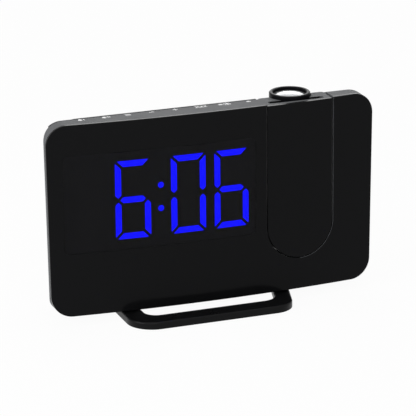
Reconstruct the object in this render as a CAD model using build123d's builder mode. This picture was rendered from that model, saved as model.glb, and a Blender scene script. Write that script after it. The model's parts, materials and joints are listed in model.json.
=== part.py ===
from build123d import *
import os
from math import atan2, cos, degrees, radians, sin, sqrt, tan

os.makedirs("parts", exist_ok=True)

# ---------------------------------------------------------------- driving dimensions, mm
# Case: a slim slab with a bowed front, and a deeper hump behind it.
top_width = 192.0
bottom_width = 189.2
case_height = 109.5
case_depth = 40.0
slab_depth = 13.8
corner_r = 12.0
end_r = 5.0  # the frame's ends are rounded off towards the back, seen from above
bow = 5.6  # the ends of the front lie this far behind its middle
panel_t = 1.5
web_t = 1.5
frame_wall = 2.0
shell_t = 2.2
back_plate_t = 2.0
back_inset = 0.3  # the rear shell lies this far inside the frame's outline
hump_width = 166.0
hump_corner_r = 8.0
hump_edge_r = 4.0
hump_top_run = 2.7  # level stretch behind the frame, before the key slope
right_end_drop = 1.0  # the hump's narrow end beyond the arm stands this much lower
key_slope = 38.0  # degrees

# Foot: a flat loop under the case, its right leg splayed a little towards the back.
foot_t = 4.2
foot_gap = 1.4
foot_reach = 18.3  # how far it stands out in front of the case
foot_left = -54.3
foot_front_w = 93.3
foot_rear_w = 109.8
foot_left_leg_w = 11.4
foot_right_leg_w = 9.9
foot_bar_w = 11.9
foot_rear_bar_w = 10.0
foot_left_r = 15.0
foot_right_r = 13.0
foot_rear_r = 10.0
foot_inner_left_r = 7.0
foot_inner_right_r = 9.0
foot_inner_rear_r = 6.0
foot_boss_r = 3.5
foot_screw_recess = 0.5  # screw heads sit this far up inside the foot
foot_screw_clear = 1.0  # end of a foot screw short of its hole's end
front_pad_back = 17.0  # pads behind the foot's front edge
rear_pad_in = 9.0
rear_pad_up = 5.5
foot_edge_r = 1.2
pad_proud = 0.4
pad_t = 1.6
pad_r = 3.8

# Projector arm: a tongue that fills a U channel in the case.
arm_x = 50.7
arm_r = 19.75
channel_r = 20.4
channel_drop = 71.0  # top of the case down to the centre of the U
channel_wall = 1.6
rear_channel_r = 21.0
arm_drop = 0.6  # the arm's top lies this far below the case's
arm_wall = 1.6
arm_lip = 2.2
arm_deck_t = 2.5
arm_deck_back = 3.4  # the deck reaches this far behind the slab, on both sides of the focus ring
arm_deck_r = 2.0
arm_cover_t = 1.6
arm_boss_r = 2.4
arm_screw_x = 12.5
arm_screw_rise = 14.0  # upper screws above the hinge axis
arm_screw_drop = 12.0  # lower screw below the centre of the U
hinge_back = 7.6  # hinge axis behind the middle of the front
hinge_rise = 9.0  # hinge axis above the centre of the U
swing_gap = 0.1
pin_r = 1.4
pin_length = 11.0
pin_short = 0.5  # outer end of a pin, inside the bush's end
pin_boss_r = 3.4
pin_boss_length = 4.0
bush_r = 2.2
bush_length = 5.0
bush_boss_r = 3.7
washer_t = 0.5
washer_r = 3.2
running_gap = 0.05

# Projector, all round one upright axis behind the arm.
barrel_back = 17.65  # barrel axis behind the middle of the front
ring_r = 11.55
ring_h = 8.6
ring_top_rise = 1.5  # focus ring's rim above the top of the case
ring_lip_r = 9.35
ring_lip_t = 2.1
ring_grooves = 36
groove_r = 0.5
groove_out = 0.25  # middle of a groove outside the ring's face
tube_r = 10.5
tube_bore_r = 9.0
tube_h = 34.3
pocket_r = 14.5
slot_width = 33.0
slot_x = 50.3
slot_back = 9.15  # rear edge of the slot, behind the middle of the front
slot_corner_r = 1.5
lens_r = 8.0
lens_edge_t = 2.0
lens_crown = 1.2
cell_h = 9.0
cell_above_tube = 0.8  # the lens cell reaches up inside the focus ring's lip
cell_lip = 0.2
cell_wall = 1.0
ledge = 1.2
condenser_rise = 6.0
condenser_edge_t = 2.0
condenser_crown = 2.4
image_rise = 14.0
image_w = 11.0
image_h = 8.0
image_t = 1.0
image_carrier_t = 1.4
led_side = 5.0
led_body_h = 1.0
led_dome_r = 1.9
led_dome_h = 1.2
housing_r = 14.2
housing_wall = 1.8
housing_floor_gap = 0.4  # focus ring above the housing's top
heatsink_h = 4.0
heatsink_slots = 5
heatsink_pitch = 3.4
heatsink_slot_w = 1.4
heatsink_base_t = 1.5
led_board_t = 1.2
board_t = 1.6

# Display: four seven-segment figures behind a smoked window.
display_x = -31.6
display_drop = 45.55  # top of the case down to the middle of the figures
window_width = 110.6
window_height = 56.0
window_r = 3.0
mask_lip = 0.9
fit_gap = 0.15
digit_w = 21.7
digit_h = 46.4
digit_pitch = 25.3
pair_shift = 15.9  # middle of the window to the middle of the nearest figure
stroke = 5.0
segment_gap = 1.7
colon_r = 1.65
colon_spread = 13.4
diffuser_t = 1.2
display_board_back = 8.6
board_past_side = 1.4  # display board past the window
board_past_end = 6.5
led_w = 2.0
led_h = 1.2
led_t = 0.7

# Keys on the slope behind the top edge.
key_count = 8
key_pitch = 13.7
key_first_x = -74.0
key_w = 9.6
key_l = 8.0
key_down = 10.0  # from the top of the slope to the middle of a key
key_proud = 1.0
key_gap = 0.25
key_flange = 0.6
key_flange_t = 0.8
key_stem_r = 1.5
key_stem_h = 1.0
key_travel = 0.8
seat_gap = 0.1
switch_side = 6.0
switch_body_h = 2.6
switch_plunger_r = 1.6
switch_plunger_h = 0.9
key_board_t = 1.2
key_board_l = 19.0
key_board_shift = 4.0  # middle of the key board, further down the slope than the keys
key_post_shift = 10.5  # the posts likewise

# Electronics inside the hump.
main_board_back = 19.0
main_board_w = 100.0
main_board_h = 52.0
main_board_x = -28.0
main_board_rise = 34.0  # bottom of the case up to the middle of the board
speaker_x = -52.0
speaker_rise = 52.0
speaker_r = 18.0
speaker_magnet_r = 11.0
speaker_depth = 14.0
speaker_rim_h = 1.5
speaker_rim_in = 2.6
cone_depth = 6.4
cone_t = 0.5
cone_dome_r = 5.6
speaker_collar_t = 1.15
speaker_collar_h = 2.0
magnet_h = 5.0
sheet_t = 0.8
pole_r = 3.9
pole_h = 2.6
grille_r = 15.0
grille_slot = 1.6
grille_pitch = 3.2
cell_x = -4.0
cell_rise = 66.5
cell_r = 10.0
cell_t = 3.2
cell_play = 1.0
tray_depth = 6.8
tray_wall = 2.0
contact_t = 0.3
contact_w = 5.0
door_w = 25.0
door_t = 1.3
door_below = 2.2  # edge of the door below the cell
door_above = 7.5
door_screw_above = 4.4
door_post_l = 5.0
door_head_t = 0.9
jack_x = 10.0
jack_rise = 18.0
jack_w = 9.0
jack_h = 11.0
jack_nose_r = 3.9
jack_bore_r = 2.75
jack_bore_depth = 9.5
jack_pin_r = 1.0
slider_x = -14.0
slider_rise = 34.0
slider_travel = 4.0
slider_w = 4.6
slider_h = 4.0
slider_post_x = 9.0
slider_post_l = 5.9
slider_body_w = 12.0
slider_body_h = 6.5
slider_board_w = 22.0
slider_board_h = 9.0
knob_flange_t = 0.7
knob_proud = -0.2  # the knob and the inlet stop just short of the shell's face

# Screws: one small self-tapping kind in three lengths.
screw_r = 1.0
screw_head_r = 1.9
screw_head_t = 1.3
pilot_gap = 0.05
case_screw_in = 15.0  # lowest case screws above the bottom; the highest are half as far down
case_screw_side = 2.3  # from the inside of the frame's end to a case screw
boss_r = 2.8
small_screw_r = 0.75
small_pilot_r = 0.8
post_r = 2.5
small_post_r = 1.9
case_screw_l = 6.2
display_screw_l = 3.6
board_screw_l = 5.6
small_screw_l = 4.2
door_screw_l = 4.6
pilot_extra = 0.5  # a pilot hole runs this far past its screw
foot_screw_r = 1.4
foot_screw_head_r = 2.8
foot_column_r = 3.4
foot_column_h = 11.0
foot_pilot_end = 1.5  # closed end of a foot screw's hole, below the column's top

# ---------------------------------------------------------------- places worked out from them
front_y = (foot_reach - case_depth) / 2
slab_back = front_y + slab_depth
case_rear = front_y + case_depth
inner_rear = case_rear - shell_t
case_bottom = pad_proud + foot_t + foot_gap
case_top = case_bottom + case_height
shell_top = case_top - back_inset
shell_bottom = case_bottom + back_inset
foot_front = front_y - foot_reach
foot_depth = case_rear - foot_front
half_reach = top_width / 2 + 2
bow_radius = ((top_width / 2) ** 2 + bow**2) / (2 * bow)

channel_z = case_top - channel_drop
hinge_y = front_y + hinge_back
hinge_z = channel_z + hinge_rise
arm_top = case_top - arm_drop
deck_bottom = arm_top - arm_deck_t
barrel_y = front_y + barrel_back
ring_top = case_top + ring_top_rise
ring_bottom = ring_top - ring_h
tube_top = ring_top - ring_lip_t - seat_gap
tube_bottom = tube_top - tube_h
housing_top = ring_bottom - housing_floor_gap
led_board_bottom = tube_bottom - led_board_t
housing_floor = led_board_bottom - heatsink_h
housing_bottom = housing_floor - housing_wall

display_z = case_top - display_drop
digit_xs = [display_x + side * (pair_shift + step * digit_pitch) for side, step in
            ((-1, 1), (-1, 0), (1, 0), (1, 1))]
colon_places = [(display_x, display_z + side * colon_spread / 2) for side in (-1, 1)]
display_board_y = front_y + display_board_back
mask_front = panel_t + seat_gap

slope_start = (slab_back + hump_top_run, shell_top)
slope_run = case_rear - slope_start[0]
slope_end = (case_rear, shell_top - slope_run * tan(radians(key_slope)))
slope_plane = Plane(
    origin=(0, *slope_start),
    x_dir=(1, 0, 0),
    z_dir=(0, sin(radians(key_slope)), cos(radians(key_slope))),
)
key_xs = [key_first_x + key_pitch * index for index in range(key_count)]
key_flange_top = -(shell_t + seat_gap)
key_flange_bottom = key_flange_top - key_flange_t
key_stem_bottom = key_flange_bottom - key_stem_h
plunger_top = key_stem_bottom - key_travel - seat_gap
switch_bottom = plunger_top - switch_plunger_h - switch_body_h
key_board_bottom = switch_bottom - key_board_t

main_board_y = front_y + main_board_back
main_board_z = case_bottom + main_board_rise
speaker_z = case_bottom + speaker_rise
cell_z = case_bottom + cell_rise
jack_z = case_bottom + jack_rise
slider_z = case_bottom + slider_rise


# ---------------------------------------------------------------- shared shapes
def front_at(x, depth=0.0):
    """Depth of the bowed front at x, or of a surface that lies depth behind it."""
    return front_y + depth + bow_radius - sqrt(bow_radius**2 - x**2)


def front_view(y):
    """Sketch plane seen from the front at depth y: extrude comes towards the viewer."""
    return Plane.XZ.offset(-y)


def bowed_block(depth, back=None, back_depth=None):
    """Full-size block from the bowed front, set back by depth, to a flat or a bowed back."""
    ends = front_at(half_reach, depth)
    with BuildPart() as block:
        with BuildSketch(Plane.XY):
            with BuildLine():
                ThreePointArc((-half_reach, ends), (0, front_y + depth), (half_reach, ends))
                if back_depth is None:
                    Polyline((half_reach, ends), (half_reach, back), (-half_reach, back), (-half_reach, ends))
                else:
                    rear_ends = front_at(half_reach, back_depth)
                    Line((half_reach, ends), (half_reach, rear_ends))
                    rear_middle = (0, front_y + back_depth)
                    ThreePointArc((half_reach, rear_ends), rear_middle, (-half_reach, rear_ends))
                    Line((-half_reach, rear_ends), (-half_reach, ends))
            make_face()
        extrude(amount=case_top + corner_r)
    return block.part


def case_outline(inset=0.0):
    """Front view of the case, a shade wider at the top than at the bottom."""
    with BuildSketch() as outline:
        Polygon(
            (-bottom_width / 2, case_bottom), (bottom_width / 2, case_bottom),
            (top_width / 2, case_top), (-top_width / 2, case_top), align=None,
        )
        fillet(outline.vertices(), radius=corner_r)
        if inset:
            offset(amount=-inset)
    return outline.sketch


def side_at(z):
    """Half the case's width at height z, on its straight sloping sides."""
    return (bottom_width + (top_width - bottom_width) * (z - case_bottom) / case_height) / 2


def foot_right(y):
    """Right side of the foot at depth y, on its slanting line."""
    return foot_left + foot_front_w + (foot_rear_w - foot_front_w) * (y - foot_front) / foot_depth


def leg_places(y, inward=0.0):
    """Middles of the foot's two legs at depth y, or places that much nearer each other."""
    left = foot_left + foot_left_leg_w / 2 + inward
    right = foot_right(y) - foot_right_leg_w / 2 - inward
    return [(left, y), (right, y)]


def inner_outline(inset):
    """Front view of what lies inside the frame: inset all round, and clear of its rounded ends."""
    with BuildSketch() as outline:
        Polygon(
            (end_r - bottom_width / 2, case_bottom), (bottom_width / 2 - end_r, case_bottom),
            (top_width / 2 - end_r, case_top), (end_r - top_width / 2, case_top), align=None,
        )
        add(case_outline(inset), mode=Mode.INTERSECT)
    return outline.sketch


def rounded_ends():
    """A block as wide as the case at every height, its rear corners rounded as seen from above."""
    with BuildPart() as block:
        for z in (case_bottom, case_top):
            with BuildSketch(Plane.XY.offset(z)) as level:
                with Locations((0, slab_back)):
                    Rectangle(2 * side_at(z), 2 * slab_depth, align=(Align.CENTER, Align.MAX))
                fillet(level.vertices().group_by(Axis.Y)[-1], radius=end_r)
        loft()
    return block.part


def u_outline(radius, top=case_top + corner_r):
    """Front view of the U channel, or of anything that follows it."""
    with BuildSketch() as outline:
        with Locations((arm_x, channel_z)):
            Circle(radius)
            Rectangle(2 * radius, top - channel_z, align=(Align.CENTER, Align.MIN))
    return outline.sketch


def window_outline(margin=0.0):
    """Front view of the display window, with a margin all round."""
    with BuildSketch() as outline:
        with Locations((display_x, display_z)):
            RectangleRounded(window_width + 2 * margin, window_height + 2 * margin, window_r)
    return outline.sketch


def segment(letter):
    """One mitred bar of a seven-segment figure, centred on the figure."""
    w, h, t = digit_w / 2, digit_h / 2, stroke
    bars = {
        "a": [(-w, h), (w, h), (w - t, h - t), (t - w, h - t)],
        "b": [(w, h), (w, t / 2), (w - t / 2, 0), (w - t, t / 2), (w - t, h - t)],
        "g": [(t / 2 - w, 0), (t - w, t / 2), (w - t, t / 2),
              (w - t / 2, 0), (w - t, -t / 2), (t - w, -t / 2)],
    }
    mirrors = {"c": ("b", 1, -1), "d": ("a", 1, -1), "e": ("b", -1, -1), "f": ("b", -1, 1)}
    source, flip_x, flip_z = mirrors.get(letter, (letter, 1, 1))
    with BuildSketch() as bar:
        Polygon(*[(flip_x * x, flip_z * z) for x, z in bars[source]], align=None)
        offset(amount=-segment_gap / 2, kind=Kind.INTERSECTION)
    return bar.sketch


def display_figures(letters_of_digits, with_colon):
    """The chosen bars of each figure in its place, and the two dots."""
    with BuildSketch() as figures:
        for x, letters in zip(digit_xs, letters_of_digits):
            for letter in letters:
                with Locations((x, display_z)):
                    add(segment(letter))
        if with_colon:
            with Locations(*colon_places):
                Circle(colon_r)
    return figures.sketch


def swing_envelope():
    """Everything the arm may fill: the channel's own outline turned about the hinge axis."""
    reach = channel_r - swing_gap
    with BuildPart() as envelope:
        with BuildSketch(front_view(hinge_y)):
            add(u_outline(reach, hinge_z))
            with Locations((arm_x, hinge_z)):
                Rectangle(2 * reach, reach, align=(Align.CENTER, Align.MIN), mode=Mode.SUBTRACT)
        revolve(axis=Axis((0, hinge_y, hinge_z), (1, 0, 0)))
        with BuildSketch(Plane.XY.offset(hinge_z)):
            with Locations((arm_x, hinge_y)):
                Rectangle(2 * reach, 2 * case_depth)
        extrude(amount=case_height)
    return envelope.part


def hump(inset=0.0):
    """The hump's outer shape, or the hollow inside it when inset is the wall."""
    corner = hump_corner_r - inset
    width = hump_width - 2 * inset
    middle_low = (Align.CENTER, Align.MIN)
    with BuildPart() as block:
        with BuildSketch(Plane.YZ.offset(-hump_width / 2)) as profile:
            Polygon(
                (slab_back - hump_corner_r, shell_bottom), (case_rear, shell_bottom), slope_end,
                slope_start, (slab_back - hump_corner_r, shell_top), align=None,
            )
            fillet(profile.vertices().group_by(Axis.X)[-1], radius=hump_edge_r)
            if inset:
                offset(amount=-inset)
        extrude(amount=hump_width)
        with BuildSketch(Plane.XY):
            with Locations((0, case_rear - inset)):
                RectangleRounded(width, 4 * case_depth, corner, align=(Align.CENTER, Align.MAX))
        extrude(amount=2 * case_top, mode=Mode.INTERSECT)
        with BuildSketch(front_view(case_rear)):
            with Locations((0, shell_bottom + inset)):
                RectangleRounded(width, shell_top - shell_bottom - 2 * inset, corner, align=middle_low)
        extrude(amount=2 * case_depth, mode=Mode.INTERSECT)
    return block.part


def finish(builder, name):
    """Label a finished piece and write it out."""
    builder.part.label = name
    export_step(builder.part, f"parts/{name}.step")


# ---------------------------------------------------------------- front panel and its window
# Gloss acrylic plate over the whole front, with the arm's channel and the window cut out.
with BuildPart() as front_panel:
    add(bowed_block(0, back_depth=panel_t))
    with BuildSketch(front_view(slab_back)):
        add(case_outline())
        add(u_outline(channel_r), mode=Mode.SUBTRACT)
        add(window_outline(), mode=Mode.SUBTRACT)
    extrude(amount=2 * slab_depth, mode=Mode.INTERSECT)
finish(front_panel, "front_panel")

with BuildPart() as display_window:
    add(bowed_block(0, back_depth=panel_t))
    with BuildSketch(front_view(slab_back)):
        add(window_outline())
    extrude(amount=2 * slab_depth, mode=Mode.INTERSECT)
finish(display_window, "display_window")

# ---------------------------------------------------------------- display stack
all_bars = ["abcdefg"] * 4
lit_bars = ["", "acdefg", "abcdef", "acdefg"]
dark_bars = ["".join(sorted(set(full) - set(lit))) for full, lit in zip(all_bars, lit_bars)]

# Black reflector: bowed in front, flat behind, with a well for every bar.
with BuildPart() as display_mask:
    add(bowed_block(mask_front, back=display_board_y))
    with BuildSketch(front_view(display_board_y)):
        add(window_outline(mask_lip))
        add(display_figures(all_bars, True), mode=Mode.SUBTRACT)
    extrude(amount=slab_depth, mode=Mode.INTERSECT)
finish(display_mask, "display_mask")

for name, bars, dots in (("lit_segments", lit_bars, True), ("dark_segments", dark_bars, False)):
    with BuildPart() as segments:
        add(bowed_block(mask_front, back_depth=mask_front + diffuser_t))
        with BuildSketch(front_view(display_board_y)):
            add(display_figures(bars, dots))
        extrude(amount=slab_depth, mode=Mode.INTERSECT)
    finish(segments, name)

display_board_w = window_width + 2 * board_past_side
display_board_h = window_height + 2 * board_past_end
corner_screw_x = display_board_w / 2 - boss_r
corner_screw_z = display_board_h / 2 - boss_r
board_screw_places = [(display_x + side * corner_screw_x, display_z + rise * corner_screw_z)
                      for side in (-1, 1) for rise in (-1, 1)]
with BuildPart() as display_board:
    with BuildSketch(front_view(display_board_y + board_t)):
        with Locations((display_x, display_z)):
            Rectangle(display_board_w, display_board_h)
        with Locations(*board_screw_places):
            Circle(screw_r + pilot_gap, mode=Mode.SUBTRACT)
    extrude(amount=board_t)
finish(display_board, "display_board")

bar_centres = {
    "a": (0, (digit_h - stroke) / 2), "d": (0, (stroke - digit_h) / 2), "g": (0, 0),
    "b": ((digit_w - stroke) / 2, digit_h / 4), "c": ((digit_w - stroke) / 2, -digit_h / 4),
    "e": ((stroke - digit_w) / 2, -digit_h / 4), "f": ((stroke - digit_w) / 2, digit_h / 4),
}
with BuildPart() as display_leds:
    with BuildSketch(front_view(display_board_y)):
        for x in digit_xs:
            with Locations(*[(x + dx, display_z + dz) for dx, dz in bar_centres.values()]):
                Rectangle(led_w, led_h)
        with Locations(*colon_places):
            Rectangle(led_w, led_h)
    extrude(amount=led_t)
finish(display_leds, "display_leds")


def screw(radius, length, head_r, head_t):
    """Pan-head screw on the local Z axis: head above zero, shank below."""
    with BuildPart() as fastener:
        with BuildSketch(Plane.XY):
            Circle(head_r)
        extrude(amount=head_t)
        fillet(fastener.faces().sort_by(Axis.Z)[-1].edges(), radius=head_t / 3)
        with BuildSketch(Plane.XY):
            Circle(radius)
        extrude(amount=-length)
        with BuildSketch(Plane.XY.offset(head_t)):
            Rectangle(head_r * 1.3, head_r / 4)
            Rectangle(head_r / 4, head_r * 1.3)
        extrude(amount=-head_t / 2, mode=Mode.SUBTRACT)
    return fastener.part


FROM_BEHIND = (-90, 0, 0)
FROM_THE_FRONT = (90, 0, 0)
FROM_BELOW = (180, 0, 0)


def screws_at(places, turn, length, radius=screw_r, head_r=screw_head_r, head_t=screw_head_t):
    """A set of like screws, their heads seated at the places and turned to face outwards."""
    one = screw(radius, length, head_r, head_t)
    with BuildPart() as group:
        with Locations(*[Location(place, turn) for place in places]):
            add(one)
    return group


display_screw_places = [(x, display_board_y + board_t, z) for x, z in board_screw_places]
finish(screws_at(display_screw_places, FROM_BEHIND, display_screw_l), "display_screws")


# ---------------------------------------------------------------- front frame
low_screw_z = case_bottom + case_screw_in
high_screw_z = case_top - case_screw_in / 2
middle_screw_z = (low_screw_z + high_screw_z) / 2
case_screw_places = [(side * (side_at(z) - end_r - case_screw_side), z) for side, z in (
    (-1, low_screw_z), (-1, high_screw_z), (1, low_screw_z), (1, middle_screw_z), (1, high_screw_z),
)]
front_foot_y = slab_back - foot_screw_head_r - 1.4
rear_foot_y = case_rear - 10.0
foot_column_top = case_bottom + foot_column_h
bearing_sides = [(arm_x - channel_r, -1), (arm_x + channel_r, 1)]

with BuildPart() as frame_cavity:
    add(bowed_block(panel_t + web_t, back=slab_back + 1))
    with BuildSketch(front_view(slab_back + 1)):
        add(inner_outline(frame_wall))
        add(u_outline(channel_r + channel_wall), mode=Mode.SUBTRACT)
        with Locations(*case_screw_places):
            Circle(boss_r, mode=Mode.SUBTRACT)
    extrude(amount=2 * slab_depth, mode=Mode.INTERSECT)
    with BuildSketch(front_view(display_board_y)):
        with Locations(*board_screw_places):
            Circle(boss_r - 0.4)
    extrude(amount=slab_depth, mode=Mode.SUBTRACT)
    for x, side in bearing_sides:
        with BuildSketch(Plane.YZ.offset(x)):
            with Locations((hinge_y, hinge_z)):
                Circle(bush_boss_r)
        extrude(amount=side * bush_length, mode=Mode.SUBTRACT)
    with BuildSketch(Plane.XY):
        with Locations(*leg_places(front_foot_y)):
            Circle(foot_column_r)
    extrude(amount=foot_column_top, mode=Mode.SUBTRACT)

# Silver slab: bowed web behind the panel, outer wall, rounded ends, and the U-shaped channel walls.
with BuildPart() as front_frame:
    add(bowed_block(panel_t, back=slab_back))
    with BuildSketch(front_view(slab_back)):
        add(case_outline())
        add(u_outline(channel_r), mode=Mode.SUBTRACT)
    extrude(amount=2 * slab_depth, mode=Mode.INTERSECT)
    add(rounded_ends(), mode=Mode.INTERSECT)
    add(frame_cavity.part, mode=Mode.SUBTRACT)
    with BuildSketch(front_view(slab_back)):
        add(window_outline(mask_lip + fit_gap))
    extrude(amount=2 * slab_depth, mode=Mode.SUBTRACT)
    with BuildSketch(front_view(slab_back)):
        with Locations(*case_screw_places):
            Circle(screw_r + pilot_gap)
    extrude(amount=case_screw_l - back_plate_t + pilot_extra, mode=Mode.SUBTRACT)
    with BuildSketch(front_view(display_board_y)):
        with Locations(*board_screw_places):
            Circle(screw_r + pilot_gap)
    extrude(amount=display_screw_l - board_t + pilot_gap, mode=Mode.SUBTRACT)
    for x, side in bearing_sides:
        with BuildSketch(Plane.YZ.offset(x)):
            with Locations((hinge_y, hinge_z)):
                Circle(bush_r)
        extrude(amount=side * bush_length, mode=Mode.SUBTRACT)
    with BuildSketch(Plane.XY.offset(foot_column_top - foot_pilot_end)):
        with Locations(*leg_places(front_foot_y)):
            Circle(foot_screw_r + pilot_gap)
    extrude(amount=-case_top, mode=Mode.SUBTRACT)
finish(front_frame, "front_frame")

with BuildPart() as hinge_bushes:
    for x, side in bearing_sides:
        with BuildSketch(Plane.YZ.offset(x)):
            with Locations((hinge_y, hinge_z)):
                Circle(bush_r)
                Circle(pin_r + running_gap, mode=Mode.SUBTRACT)
        extrude(amount=side * bush_length)
finish(hinge_bushes, "hinge_bushes")

# ---------------------------------------------------------------- rear shell
board_half = (main_board_w / 2 - post_r - 1, main_board_h / 2 - post_r - 1)
post_places = [(main_board_x + side * board_half[0], main_board_z + rise * board_half[1])
               for side in (-1, 1) for rise in (-1, 1)]
key_board_w = key_pitch * key_count - 4.0
key_board_x = key_first_x + key_pitch * (key_count - 1) / 2
key_post_xs = [key_board_x + share * key_board_w for share in (-0.45, -0.15, 0.15, 0.45)]
key_post_places = [(x, key_down + key_post_shift) for x in key_post_xs]
door_bottom = cell_z - cell_r - door_below
door_top = cell_z + cell_r + door_above
door_screw_z = cell_z + cell_r + door_screw_above
slider_post_places = [(slider_x + side * slider_post_x, slider_z) for side in (-1, 1)]
slider_board_y = inner_rear - slider_post_l
grille_rows = int(grille_r / grille_pitch)

with BuildPart() as hump_cavity:
    add(hump(shell_t))
    with BuildSketch(front_view(case_rear)):
        add(u_outline(rear_channel_r + shell_t))
    extrude(amount=2 * case_depth, mode=Mode.SUBTRACT)
    # Posts that stand off the rear wall: main board, slide switch, cell door screw, speaker rim.
    for places, radius, end_y in (
        (post_places, post_r, main_board_y + board_t),
        (slider_post_places, small_post_r, slider_board_y),
        ([(cell_x, door_screw_z)], post_r - 0.3, inner_rear - door_post_l),
    ):
        with BuildSketch(front_view(end_y)):
            with Locations(*places):
                Circle(radius)
        extrude(amount=end_y - case_rear, mode=Mode.SUBTRACT)
    with BuildSketch(front_view(inner_rear - speaker_collar_h)):
        with Locations((speaker_x, speaker_z)):
            Circle(speaker_r + fit_gap + speaker_collar_t)
            Circle(speaker_r + fit_gap, mode=Mode.SUBTRACT)
    extrude(amount=-speaker_collar_h, mode=Mode.SUBTRACT)
    with BuildSketch(slope_plane.offset(switch_bottom)):
        with Locations(*key_post_places):
            Circle(small_post_r)
    extrude(amount=-switch_bottom, mode=Mode.SUBTRACT)
    with BuildSketch(Plane.XY):
        with Locations(*leg_places(rear_foot_y)):
            Circle(foot_column_r)
    extrude(amount=foot_column_top, mode=Mode.SUBTRACT)

# Dark shell: flat back plate, hump for the electronics, trough behind the arm.
with BuildPart() as rear_shell:
    add(hump())
    with BuildSketch(front_view(slab_back + back_plate_t)):
        add(inner_outline(back_inset))
    extrude(amount=back_plate_t)
    with BuildSketch(front_view(case_rear)):
        add(inner_outline(back_inset))
        add(u_outline(rear_channel_r), mode=Mode.SUBTRACT)
    extrude(amount=case_rear - slab_back, mode=Mode.INTERSECT)
    add(hump_cavity.part, mode=Mode.SUBTRACT)
    with BuildSketch(Plane.XY.offset(shell_top - right_end_drop)):
        with Locations((arm_x, slab_back)):
            Rectangle(top_width, case_depth, align=(Align.MIN, Align.MIN))
    extrude(amount=case_height, mode=Mode.SUBTRACT)
    with BuildSketch(slope_plane.offset(key_proud)):
        with Locations(*[(x, key_down) for x in key_xs]):
            RectangleRounded(key_w + 2 * key_gap, key_l + 2 * key_gap, 1.5)
    extrude(amount=-key_proud - shell_t - 0.5, mode=Mode.SUBTRACT)
    with BuildSketch(slope_plane.offset(switch_bottom)):
        with Locations(*key_post_places):
            Circle(small_pilot_r)
    extrude(amount=small_screw_l - key_board_t + pilot_extra, mode=Mode.SUBTRACT)
    # Case screws, board posts and foot columns.
    with BuildSketch(front_view(slab_back + back_plate_t)):
        with Locations(*case_screw_places):
            Circle(screw_r + 2 * fit_gap)
    extrude(amount=back_plate_t, mode=Mode.SUBTRACT)
    with BuildSketch(front_view(main_board_y + board_t)):
        with Locations(*post_places):
            Circle(screw_r + pilot_gap)
    extrude(amount=board_t - board_screw_l - pilot_extra, mode=Mode.SUBTRACT)
    with BuildSketch(front_view(slider_board_y)):
        with Locations(*slider_post_places):
            Circle(small_pilot_r)
    extrude(amount=key_board_t - small_screw_l - pilot_extra, mode=Mode.SUBTRACT)
    with BuildSketch(Plane.XY.offset(foot_column_top - foot_pilot_end)):
        with Locations(*leg_places(rear_foot_y)):
            Circle(foot_screw_r + pilot_gap)
    extrude(amount=-case_top, mode=Mode.SUBTRACT)
    # Speaker grille: level slots across a circle.
    with BuildSketch(front_view(case_rear)):
        for row in range(-grille_rows, grille_rows + 1):
            half = sqrt(grille_r**2 - (row * grille_pitch) ** 2)
            with Locations((speaker_x, speaker_z + row * grille_pitch)):
                SlotOverall(2 * half, grille_slot)
    extrude(amount=shell_t, mode=Mode.SUBTRACT)
    # Cell door: recess, round mouth and its screw.
    with BuildSketch(front_view(case_rear)):
        with Locations((cell_x, door_bottom - fit_gap)):
            Rectangle(
                door_w + 2 * fit_gap, door_top - door_bottom + 2 * fit_gap, align=(Align.CENTER, Align.MIN),
            )
    extrude(amount=door_t + seat_gap, mode=Mode.SUBTRACT)
    with BuildSketch(front_view(case_rear)):
        with Locations((cell_x, cell_z)):
            Circle(cell_r + 0.6)
    extrude(amount=shell_t, mode=Mode.SUBTRACT)
    with BuildSketch(front_view(case_rear)):
        with Locations((cell_x, door_screw_z)):
            Circle(screw_r + pilot_gap)
    extrude(amount=door_t + door_screw_l, mode=Mode.SUBTRACT)
    # Power inlet and slide switch: dished, with a slot as long as the travel.
    with BuildSketch(front_view(case_rear)):
        with Locations((jack_x, jack_z)):
            Circle(jack_nose_r + fit_gap)
    extrude(amount=shell_t, mode=Mode.SUBTRACT)
    with BuildSketch(front_view(case_rear)):
        with Locations((slider_x, slider_z)):
            RectangleRounded(slider_travel + slider_w + 5.0, slider_h + 4.0, 1.5)
    extrude(amount=shell_t - 1.0, mode=Mode.SUBTRACT)
    with BuildSketch(front_view(case_rear)):
        with Locations((slider_x, slider_z)):
            Rectangle(slider_travel + slider_w + 2 * fit_gap, slider_h + 2 * fit_gap)
    extrude(amount=shell_t, mode=Mode.SUBTRACT)
finish(rear_shell, "rear_shell")

case_screw_heads = [(x, slab_back + back_plate_t, z) for x, z in case_screw_places]
finish(screws_at(case_screw_heads, FROM_BEHIND, case_screw_l), "case_screws")

# ---------------------------------------------------------------- keys on the slope
key_names = ["alarm_one_key", "alarm_two_key", "mode_key", "minus_key",
             "plus_key", "snooze_key", "light_key", "sound_key"]
for name, x in zip(key_names, key_xs):
    with BuildPart() as key:
        with BuildSketch(slope_plane.offset(key_flange_top)):
            with Locations((x, key_down)):
                RectangleRounded(key_w, key_l, 1.4)
        extrude(amount=key_proud - key_flange_top)
        fillet(key.faces().sort_by(Axis.Z)[-1].edges(), radius=0.4)
        with BuildSketch(slope_plane.offset(key_flange_bottom)):
            with Locations((x, key_down)):
                RectangleRounded(key_w + 2 * key_flange, key_l + 2 * key_flange, 1.4)
        extrude(amount=key_flange_t)
        with BuildSketch(slope_plane.offset(key_stem_bottom)):
            with Locations((x, key_down)):
                Circle(key_stem_r)
        extrude(amount=key_stem_h)
    finish(key, name)

with BuildPart() as key_board:
    with BuildSketch(slope_plane.offset(key_board_bottom)):
        with Locations((key_board_x, key_down + key_board_shift)):
            Rectangle(key_board_w, key_board_l)
        with Locations(*key_post_places):
            Circle(screw_r, mode=Mode.SUBTRACT)
    extrude(amount=key_board_t)
finish(key_board, "key_board")

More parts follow.
